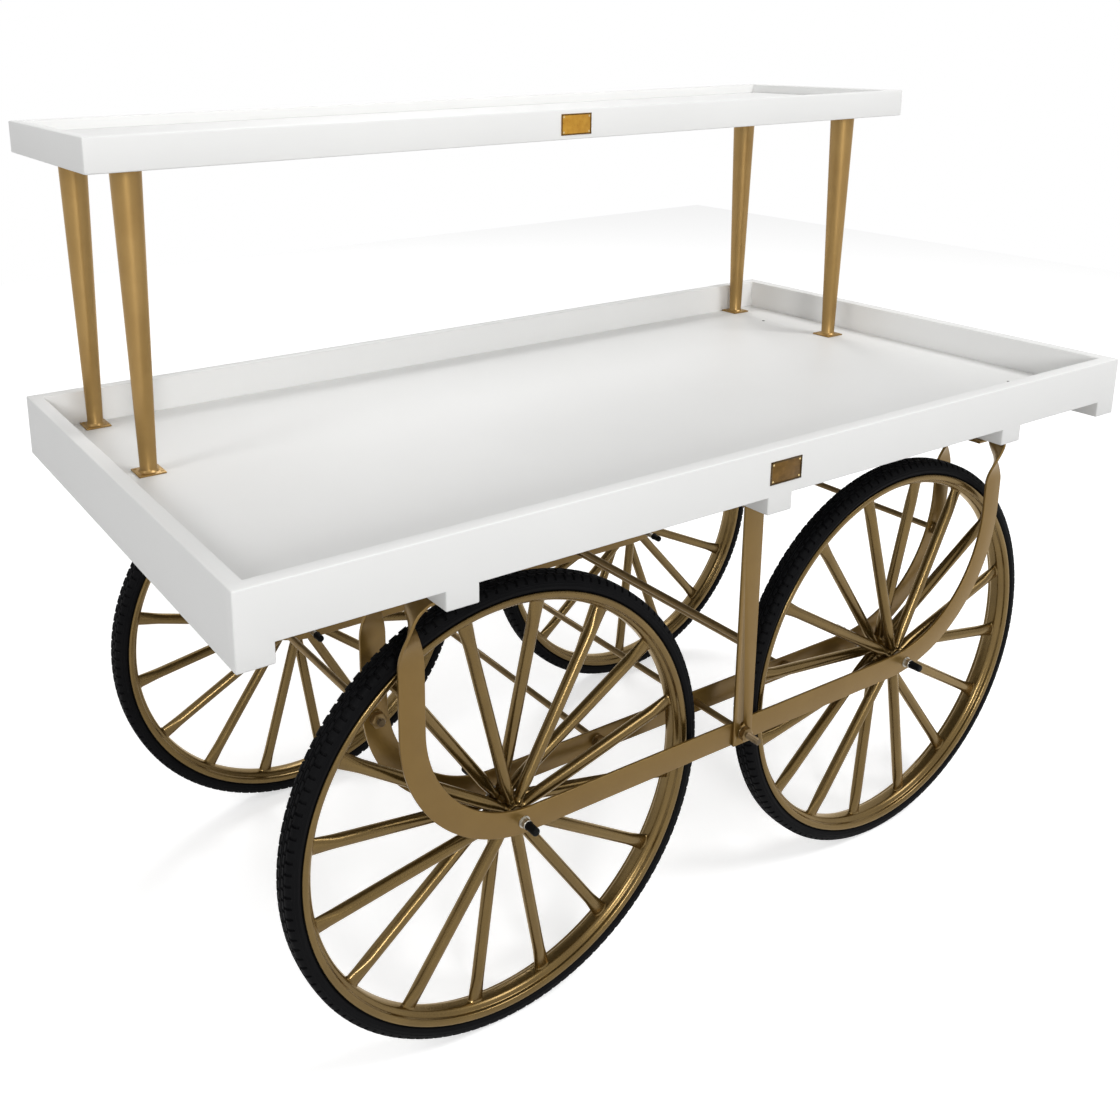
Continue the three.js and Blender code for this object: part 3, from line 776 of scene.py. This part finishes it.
def arm_stations(side, arm, axle_z, beam_bottom):
    """From the level run at the axle up to the foot under a beam, as (x, z, slope, twist)."""
    up = math.pi / 2
    foot_z = beam_bottom - STRAP_THICKNESS / 2
    twist_bottom = foot_z - STRAP_TWIST_DROP - STRAP_TWIST_LENGTH
    bend = twist_bottom - STRAP_STRAIGHTS[side] - axle_z
    foot_start = foot_z - STRAP_FOOT_BEND
    stations = []
    for i in range(BEND_STEPS + 1):
        slope = up * i / BEND_STEPS
        x = arm - bend + bend * math.sin(slope)
        stations.append((x, axle_z + bend - bend * math.cos(slope), slope, 0.0))
    for i in range(TWIST_STEPS):
        z = twist_bottom + (foot_start - twist_bottom) * i / TWIST_STEPS
        stations.append((arm, z, up, up * twist_share(z - twist_bottom)))
    for i in range(FOOT_STEPS + 1):
        slope = up + up * i / FOOT_STEPS
        x = arm - STRAP_FOOT_BEND + STRAP_FOOT_BEND * math.sin(slope)
        run = foot_start - twist_bottom + STRAP_FOOT_BEND * (slope - up)
        stations.append((x, foot_start - STRAP_FOOT_BEND * math.cos(slope), slope, up * twist_share(run)))
    stations.append((arm - STRAP_FOOT_REACH, foot_z, 2 * up, up))
    return stations


def strap_arm(side, arm, y, axle_z, beam_bottom):
    """The rings of one half of a strap, with its arm's middle at a distance from the cart's middle."""
    section = strap_section()
    rings = []
    for x, z, slope, twist in arm_stations(side, arm, axle_z, beam_bottom):
        wide, thick = strap_frame(side, slope, twist)
        rings.append(bar_ring(section, Vector((side * x, y, z)), wide, thick))
    return rings


def add_strap(node_name, axle_z, beam_bottom):
    low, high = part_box(node_name)
    y = (low.y + high.y) / 2
    half = STRAP_WIDTH / 2
    left = strap_arm(-1, -low.x - half, y, axle_z, beam_bottom)
    right = strap_arm(1, high.x - half, y, axle_z, beam_bottom)
    shape = Shape()
    shape.add(*loft(list(reversed(left)) + right))
    settle(shape.made(f"bent_{node_name}", STRAP_GOLD), CHASSIS, "gold_frame", node_name)


def add_straps():
    beam_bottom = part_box("crossbeam_left")[0].z
    axle_z = centre_of("axle_front_left").z
    for end in ("front", "back"):
        for row in ("outer", "inner"):
            add_strap(f"strap_{end}_{row}", axle_z, beam_bottom)


def post_stations(low, high, upright_y, outward):
    """From a post's lower end up and round to its foot under the beam, as (y, z, angle)."""
    half = STRAP_THICKNESS / 2
    bend = STRAP_THICKNESS * POST_BEND_SHARE
    foot_end_y = high.y if outward < 0 else low.y
    stations = [(upright_y, low.z, 0.0), (upright_y, high.z - half - bend, 0.0)]
    for i in range(1, POST_BEND_STEPS + 1):
        angle = math.pi / 2 * i / POST_BEND_STEPS
        y = upright_y - outward * bend * (1 - math.cos(angle))
        stations.append((y, high.z - half - bend + bend * math.sin(angle), angle))
    stations.append((foot_end_y, high.z - half, math.pi / 2))
    return stations


def add_post(end, outward):
    """A centre post with its spare hole. outward is the way along Y that its upright faces."""
    node_name = f"centre_post_{end}"
    low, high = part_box(node_name)
    half = STRAP_THICKNESS / 2
    upright_y = (low.y + half) if outward < 0 else (high.y - half)
    x = (low.x + high.x) / 2
    wide = Vector((1, 0, 0))
    rings = []
    for y, z, angle in post_stations(low, high, upright_y, outward):
        thick = Vector((0, outward * math.cos(angle), math.sin(angle)))
        rings.append(bar_ring(strap_section(), Vector((x, y, z)), wide, thick))
    shape = Shape()
    shape.add(*loft(rings))
    made = shape.made(f"bent_{node_name}", STRAP_GOLD)
    axle_z = centre_of("axle_front_left").z
    hole = Vector((x + SPARE_HOLE_OFFSET[0], upright_y, axle_z + SPARE_HOLE_OFFSET[1]))
    cut_round_hole(made, hole, SPARE_HOLE_RADIUS, STRAP_THICKNESS * 2)
    settle(made, CHASSIS, "gold_frame", node_name)


# Bolts and the brace rod

def washer(centre):
    """A washer in front of the centre, along Y."""
    profile = rod_profile(WASHER_RADIUS, 0, WASHER_THICKNESS, EDGE / 2)
    return turned_solid([(radius, -place) for radius, place in profile], centre, WASHER_SIDES)


def rod(low, high, axis):
    return turned_solid(rod_profile(ROD_RADIUS, low, high), axis, ROD_SIDES)


def add_bolt(node_name):
    """A long bolt: head at the back, nut and threaded end at the front."""
    low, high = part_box(node_name)
    nut_low, nut_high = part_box(f"{node_name}_nut")
    x, z = (low.x + high.x) / 2, (low.z + high.z) / 2
    axis = Vector((x, 0, z))
    shape = Shape()
    shape.add(*rod(nut_low.y - BOLT_SHANK_LAP, high.y - NUT_THICKNESS / 2, axis))
    shape.add(*hex_block(Vector((x, high.y - NUT_THICKNESS, z)), NUT_THICKNESS))
    settle(shape.made(f"long_{node_name}", BOLT_GOLD), CHASSIS, "gold_bolt", node_name)
    thread = Shape()
    thread.add(*turned_solid(thread_profile(low.y, nut_low.y + NUT_CHAMFER), axis, ROD_SIDES))
    settle(thread.made(f"thread_{node_name}", THREAD_STEEL), CHASSIS, "axle_steel")
    nut = Shape()
    nut.add(*hex_block(Vector((x, nut_low.y, z)), nut_high.y - nut_low.y - WASHER_THICKNESS))
    nut.add(*washer(Vector((x, nut_high.y, z))))
    settle(nut.made(f"hex_{node_name}_nut", BOLT_GOLD), CHASSIS, "gold_bolt", f"{node_name}_nut")


def add_brace_rod():
    """A plain rod between the posts with a weld at each end."""
    low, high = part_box("brace_rod")
    axis = Vector(((low.x + high.x) / 2, 0, (low.z + high.z) / 2))
    shape = Shape()
    shape.add(*rod(low.y, high.y, axis))
    for end, inward in ((low.y, 1), (high.y, -1)):
        weld = [(ROD_RADIUS + rise, end + inward * place) for rise, place in ROD_WELD]
        shape.add(*turned_solid(weld, axis, ROD_SIDES))
    settle(shape.made("round_brace_rod", BOLT_GOLD), CHASSIS, "gold_bolt", "brace_rod")


def add_bolts():
    for name in LONG_BOLTS:
        add_bolt(name)
    add_brace_rod()


# Wheels

def rim_profile():
    """The rim's section from the middle of its well round one lip, the bed and the other lip."""
    return list(RIM_SECTION) + [(r, -y) for r, y in reversed(RIM_SECTION[1:])]


def spoke_halves(distance):
    """Half the spoke's width and thickness at a distance from the hub's middle."""
    at_hub = smooth_step((distance - SPOKE_HUB_INSET) / SPOKE_PRESSED)
    at_rim = smooth_step((SPOKE_END - distance) / SPOKE_PRESSED)
    halves = []
    for hub, rim in zip(SPOKE_HUB_HALVES, SPOKE_RIM_HALVES):
        from_hub = hub + (SPOKE_RADIUS - hub) * at_hub
        halves.append(from_hub + (rim - SPOKE_RADIUS) * (1 - at_rim))
    return halves


def spoke_ring(centre, distance, lean, halves, angle, dice=None, jitter=0.0):
    """A ring round a spoke at a distance from the hub's middle. Dice make it slightly uneven."""
    outward = Vector((math.cos(angle), 0, math.sin(angle)))
    across = Vector((math.sin(angle), 0, -math.cos(angle)))
    ring = []
    for i in range(SPOKE_SIDES):
        turn = 2 * math.pi * i / SPOKE_SIDES
        loose = dice.uniform(-jitter, jitter) if dice else 0.0
        wide = (halves[0] + loose) * math.cos(turn)
        thick = (halves[1] + loose) * math.sin(turn)
        ring.append(centre + outward * distance + across * wide + Vector((0, lean + thick, 0)))
    return ring


def spoke_lean(distance, hub_lean):
    """How far a spoke stands off the wheel's middle plane: fully at its foot and not at all at the rim."""
    return hub_lean * (1 - (distance - SPOKE_HUB_INSET) / (SPOKE_END - SPOKE_HUB_INSET))


def spoke_stations():
    steps = SPOKE_PRESSED_STEPS
    close = [SPOKE_HUB_INSET + SPOKE_PRESSED * i / steps for i in range(steps + 1)]
    far = [SPOKE_END - SPOKE_PRESSED * (steps - i) / steps for i in range(steps + 1)]
    return close + [(close[-1] + far[0]) / 2] + far


def spoke_tube(centre, angle, hub_lean):
    rings = []
    for distance in spoke_stations():
        lean = spoke_lean(distance, hub_lean)
        rings.append(spoke_ring(centre, distance, lean, spoke_halves(distance), angle))
    return loft(rings)


def rim_weld(centre, angle, dice):
    rings = []
    for sunk, rise, spread in RIM_WELD_RINGS:
        distance = RIM_INNER + RIM_WELD_SINK - rise * WELD_RISE
        halves = [half + spread * WELD_SPREAD for half in spoke_halves(distance)]
        rings.append(spoke_ring(centre, distance + sunk, 0.0, halves, angle, dice, WELD_JITTER))
    return loft(rings)


def hub_weld(centre, angle, hub_lean, dice):
    rings = []
    for step, spread in enumerate(HUB_WELD_SPREADS):
        distance = HUB_RADIUS - HUB_WELD_SINK + HUB_WELD_STEP * step
        lean = spoke_lean(distance, hub_lean)
        halves = [half + spread * WELD_SPREAD * HUB_WELD_SHARE for half in spoke_halves(distance)]
        rings.append(spoke_ring(centre, distance, lean, halves, angle, dice, WELD_JITTER))
    return loft(rings)


def add_spoke(shape, centre, angle, hub_lean, dice):
    shape.add(*spoke_tube(centre, angle, hub_lean))
    shape.add(*rim_weld(centre, angle, dice))
    shape.add(*hub_weld(centre, angle, hub_lean, dice))


def hub_profile():
    bore = AXLE_RADIUS + AXLE_GAP
    return [
        (bore, -HUB_HALF), (HUB_RADIUS - EDGE, -HUB_HALF), (HUB_RADIUS, -HUB_HALF + EDGE),
        (HUB_RADIUS, HUB_HALF - EDGE), (HUB_RADIUS - EDGE, HUB_HALF), (bore, HUB_HALF),
    ]


def add_wheel(corner):
    node_name = f"wheel_{corner}"
    centre = centre_of(node_name)
    outward = outward_of(corner)
    dice = random.Random(f"weld {corner}")
    shape = Shape()
    shape.add(*turned_ring(rim_profile(), centre, RIM_STEPS))
    shape.add(*turned_ring(hub_profile(), centre, HUB_SIDES))
    for i in range(SPOKES):
        angle = math.radians(SPOKE_PHASES[corner]) + 2 * math.pi * i / SPOKES
        lean = SPOKE_HUB_LEAN * (outward if i % 2 == 0 else -outward)
        add_spoke(shape, centre, angle, lean, dice)
    made = shape.made(f"welded_{node_name}", WHEEL_GOLD, WHEEL_SHARP_ANGLE)
    settle(made, f"{corner}_wheel", "gold_wheel", node_name)


# Tyres

def tyre_profile(outer):
    """The whole section, grown to the outer radius, as (radius, place across, kind, side)."""
    grown = outer - TYRE_SECTION[-1][0]
    right = [(r + grown, y, kind, 1) for r, y, kind in TYRE_SECTION]
    left = [(r + grown, -y, kind, -1) for r, y, kind in reversed(TYRE_SECTION)]
    return right + left


def tyre_cut(kind, side, index):
    """How deep the tread is cut at a station of the pitch. The notches of the two sides alternate."""
    if index not in TYRE_NOTCHES.get((kind, side), ()):
        return 0.0
    return TYRE_LUG_DEPTH if kind == 1 else TYRE_SIPE_DEPTH


def treaded_ring(profile, centre):
    """The section turned round the wheel's axis, with the notches of the tread cut into it."""
    points, faces = [], []
    count = len(profile)
    steps = TYRE_LUGS * len(TYRE_LUG_SHARES)
    for lug in range(TYRE_LUGS):
        for index, share in enumerate(TYRE_LUG_SHARES):
            angle = 2 * math.pi * (lug + share) / TYRE_LUGS
            for radius, place, kind, side in profile:
                cut = tyre_cut(kind, side, index)
                reach = radius - cut
                inward = place - side * cut * TYRE_NOTCH_SLOPE
                points.append(centre + Vector((reach * math.cos(angle), inward, reach * math.sin(angle))))
    for i in range(steps):
        k = (i + 1) % steps
        for j in range(count):
            n = (j + 1) % count
            faces.append((i * count + j, i * count + n, k * count + n, k * count + j))
    return points, faces


def add_tyre(corner):
    node_name = f"tyre_{corner}"
    centre = centre_of(node_name)
    outer = centre.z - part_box(node_name)[0].z
    shape = Shape()
    shape.add(*treaded_ring(tyre_profile(outer), centre))
    made = shape.made(f"treaded_{node_name}", TYRE_BLACK, TYRE_SHARP_ANGLE)
    settle(made, f"{corner}_wheel", "tyre_rubber", node_name)


# Axles and caps

def collar(middle, side, axis):
    """The collar beside the hub on one side of a wheel's middle."""
    near = HUB_HALF + AXLE_GAP
    profile = rod_profile(AXLE_COLLAR_RADIUS, near, near + AXLE_COLLAR_LENGTH)
    placed = [(radius, middle + side * place) for radius, place in profile]
    return turned_solid(placed, axis, AXLE_COLLAR_SIDES)


def spacer(corner, axis):
    """The flanged sleeve between the outer strap and the cap."""
    outward = outward_of(corner)
    strap_face = centre_of(f"strap_{corner.split('_')[0]}_outer").y + outward * STRAP_THICKNESS / 2
    cap_low, cap_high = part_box(f"axle_cap_outer_{corner}")
    mouth = cap_high.y if outward < 0 else cap_low.y
    reach = abs(mouth - strap_face)
    profile = [
        (SPACER_FLANGE_RADIUS, 0), (SPACER_FLANGE_RADIUS, SPACER_FLANGE), (SPACER_RADIUS, SPACER_FLANGE),
        (SPACER_RADIUS, reach - EDGE), (SPACER_RADIUS - EDGE, reach),
    ]
    placed = [(radius, strap_face + outward * place) for radius, place in profile]
    return turned_solid(placed, axis, AXLE_SIDES)


def add_axle(corner):
    node_name = f"axle_{corner}"
    low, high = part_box(node_name)
    wheel = centre_of(f"wheel_{corner}")
    axis = Vector((wheel.x, 0, wheel.z))
    shape = Shape()
    shape.add(*turned_solid(rod_profile(AXLE_RADIUS, low.y, high.y), axis, AXLE_SIDES))
    for side in (-1, 1):
        shape.add(*collar(wheel.y, side, axis))
    shape.add(*spacer(corner, axis))
    settle(shape.made(f"turned_{node_name}", AXLE_STEEL), CHASSIS, "axle_steel", node_name)


def cap_profile(radius, length):
    """From the mouth over the rolled lip and the rounded shoulder to the flat of the closed end."""
    body = radius - CAP_LIP_RISE
    profile = [
        (AXLE_RADIUS, 0), (radius - EDGE, 0), (radius, EDGE), (radius, CAP_LIP_LENGTH),
        (body, CAP_LIP_END),
    ]
    for i in range(CAP_ROUND_STEPS + 1):
        angle = math.pi / 2 * i / CAP_ROUND_STEPS
        inward, short = CAP_ROUND * (1 - math.cos(angle)), CAP_ROUND * (1 - math.sin(angle))
        profile.append((body - inward, length - short))
    profile.append((radius * CAP_FLAT_SHARE, length))
    return profile


def add_cap(node_name, facing):
    """A rubber cup with a rolled mouth and a rounded end. facing is the way its closed end points."""
    low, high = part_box(node_name)
    radius = (high.x - low.x) / 2
    length = high.y - low.y
    mouth = low.y if facing > 0 else high.y
    axis = Vector(((low.x + high.x) / 2, 0, (low.z + high.z) / 2))
    placed = [(across, mouth + facing * place) for across, place in cap_profile(radius, length)]
    shape = Shape()
    shape.add(*turned_solid(placed, axis, CAP_SIDES))
    settle(shape.made(f"moulded_{node_name}", CAP_BLACK), CHASSIS, "cap_rubber", node_name)


def add_running_gear():
    for corner in CORNERS:
        add_wheel(corner)
        add_tyre(corner)
        add_axle(corner)
        add_cap(f"axle_cap_outer_{corner}", outward_of(corner))
        add_cap(f"axle_cap_inner_{corner}", -outward_of(corner))


# Plaques

def plaque_field(low, high):
    shape = Shape()
    corner = Vector((low.x, low.y + PLAQUE_RECESS, low.z))
    shape.add(*rounded_box(corner, high, PLAQUE_FIELD_EDGE, PLATE_ROUND_STEPS))
    return shape


def plaque_border(low, high):
    """Four bars round the field, each between its lower left and its upper right corner."""
    width = PLAQUE_BORDER
    bars = (
        (low.x, low.z, high.x, low.z + width), (low.x, high.z - width, high.x, high.z),
        (low.x, low.z, low.x + width, high.z), (high.x - width, low.z, high.x, high.z),
    )
    shape = Shape()
    for x0, z0, x1, z1 in bars:
        first, last = Vector((x0, low.y, z0)), Vector((x1, high.y - EDGE, z1))
        shape.add(*rounded_box(first, last, PLAQUE_BORDER_EDGE, PLATE_ROUND_STEPS))
    return shape


def plaque_screws(low, high):
    shape = Shape()
    inset = PLAQUE_BORDER + PLATE_SCREW_RADIUS
    for x in (low.x + inset, high.x - inset):
        for z in (low.z + inset, high.z - inset):
            place = Vector((x, low.y + PLAQUE_RECESS, z))
            shape.add(*screw_head(place, "Y", PLAQUE_SCREW_RADIUS, PLAQUE_SCREW_RISE))
    return shape


def add_plaque(node_name, face_material, frame_material):
    """A bare stamped plate: a sunk field inside a raised border, held by four screws."""
    low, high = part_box(node_name)
    field = plaque_field(low, high).made(f"stamped_{node_name}", face_material)
    settle(field, CHASSIS, "plate_brass", node_name)
    border = plaque_border(low, high).made(f"border_{node_name}", frame_material)
    settle(border, CHASSIS, "plate_brass")
    screws = plaque_screws(low, high).made(f"screws_{node_name}", SCREW_BRASS)
    settle(screws, CHASSIS, "plate_brass")


# Stage, lamps and camera

def seen_directly(tree):
    """1 for the camera and for reflections and clear views, 0 for the light that a surface gathers."""
    path = node(tree, "ShaderNodeLightPath")
    total = path.outputs["Is Camera Ray"]
    for kind in ("Is Glossy Ray", "Is Transmission Ray"):
        either = node(tree, "ShaderNodeMath", operation="MAXIMUM")
        tree.links.new(total, either.inputs[0])
        tree.links.new(path.outputs[kind], either.inputs[1])
        total = either.outputs["Value"]
    return total


def white_floor():
    """Pale where it is seen or mirrored, with the cart's shadow on it, and a dim grey in soft bounces."""
    material = bpy.data.materials.new("floor_white")
    material.use_nodes = True
    tree = material.node_tree
    shader = tree.nodes["Principled BSDF"]
    shader.inputs["Roughness"].default_value = FLOOR_ROUGH
    shader.inputs["Specular IOR Level"].default_value = 0.0
    shader.inputs["Emission Color"].default_value = (1, 1, 1, 1)
    seen = seen_directly(tree)
    tone = node(tree, "ShaderNodeMix", data_type="RGBA")
    tone.inputs["A"].default_value = FLOOR_DIM
    tone.inputs["B"].default_value = FLOOR_PALE
    tree.links.new(seen, tone.inputs["Factor"])
    tree.links.new(tone.outputs["Result"], shader.inputs["Base Color"])
    gain = node(tree, "ShaderNodeMath", operation="MULTIPLY")
    gain.inputs[1].default_value = FLOOR_GLOW
    tree.links.new(seen, gain.inputs[0])
    tree.links.new(gain.outputs["Value"], shader.inputs["Emission Strength"])
    return material


def add_floor():
    mesh = bpy.data.meshes.new("floor")
    far = FLOOR_REACH
    corners = [(-far, -far, 0), (far, -far, 0), (far, far, 0), (-far, far, 0)]
    mesh.from_pydata(corners, [], [(0, 1, 2, 3)])
    mesh.materials.append(white_floor())
    floor = bpy.data.objects.new("floor", mesh)
    bpy.context.scene.collection.objects.link(floor)


def set_world():
    """White where it is seen or mirrored, and else a soft light that fades from the horizon upward."""
    world = bpy.data.worlds.new("studio")
    world.use_nodes = True
    tree = world.node_tree
    background = tree.nodes["Background"]
    background.inputs["Color"].default_value = (1, 1, 1, 1)
    split = node(tree, "ShaderNodeSeparateXYZ")
    tree.links.new(node(tree, "ShaderNodeTexCoord").outputs["Generated"], split.inputs["Vector"])
    sky = node(tree, "ShaderNodeMapRange")
    sky.inputs["To Min"].default_value = SKY_LOW
    sky.inputs["To Max"].default_value = SKY_HIGH
    tree.links.new(split.outputs["Z"], sky.inputs["Value"])
    seen = node(tree, "ShaderNodeMix", data_type="FLOAT")
    seen.inputs["B"].default_value = 1.0
    tree.links.new(seen_directly(tree), seen.inputs["Factor"])
    tree.links.new(sky.outputs["Result"], seen.inputs["A"])
    tree.links.new(seen.outputs["Result"], background.inputs["Strength"])
    bpy.context.scene.world = world


def add_lamp(name, place, size, power):
    """A round area lamp that looks at the cart."""
    lamp = bpy.data.lights.new(name, "AREA")
    lamp.shape = "DISK"
    lamp.size = size
    lamp.energy = power
    made = bpy.data.objects.new(name, lamp)
    made.location = place
    made.rotation_mode = "QUATERNION"
    made.rotation_quaternion = (Vector(LAMP_TARGET) - Vector(place)).to_track_quat("-Z", "Y")
    bpy.context.scene.collection.objects.link(made)


def add_camera():
    azimuth, elevation = math.radians(CAMERA_AZIMUTH), math.radians(CAMERA_ELEVATION)
    roll = math.radians(CAMERA_ROLL)
    reach = math.cos(elevation)
    ahead = Vector((-math.sin(azimuth) * reach, math.cos(azimuth) * reach, -math.sin(elevation)))
    level = ahead.cross(Vector((0, 0, 1))).normalized()
    upright = level.cross(ahead)
    right = level * math.cos(roll) + upright * math.sin(roll)
    up = right.cross(ahead)
    data = bpy.data.cameras.new("photo_camera")
    data.sensor_width = SENSOR_WIDTH
    data.lens = FOCAL_PIXELS / IMAGE_SIZE * SENSOR_WIDTH
    data.shift_x = (IMAGE_SIZE / 2 - CENTRE_COLUMN) / IMAGE_SIZE
    data.shift_y = -(IMAGE_SIZE / 2 - CENTRE_ROW) / IMAGE_SIZE
    data.clip_start, data.clip_end = CLIP_NEAR, CLIP_FAR
    camera = bpy.data.objects.new("photo_camera", data)
    turn = Matrix((right, up, -ahead)).transposed()
    camera.matrix_world = Matrix.Translation(CAMERA_PLACE) @ turn.to_4x4()
    bpy.context.scene.collection.objects.link(camera)
    bpy.context.scene.camera = camera


add_woodwork()
add_deck_screws()
add_legs()
add_straps()
add_post("front", -1)
add_post("back", 1)
add_bolts()
add_running_gear()
add_plaque("shelf_nameplate", BRIGHT_BRASS, DARK_BRASS)
add_plaque("tray_nameplate", DARK_BRASS, EDGE_BRASS)
add_floor()
set_world()
for lamp in LAMPS:
    add_lamp(*lamp)
add_camera()
bpy.context.scene.view_settings.view_transform = "Standard"

bpy.context.view_layer.update()
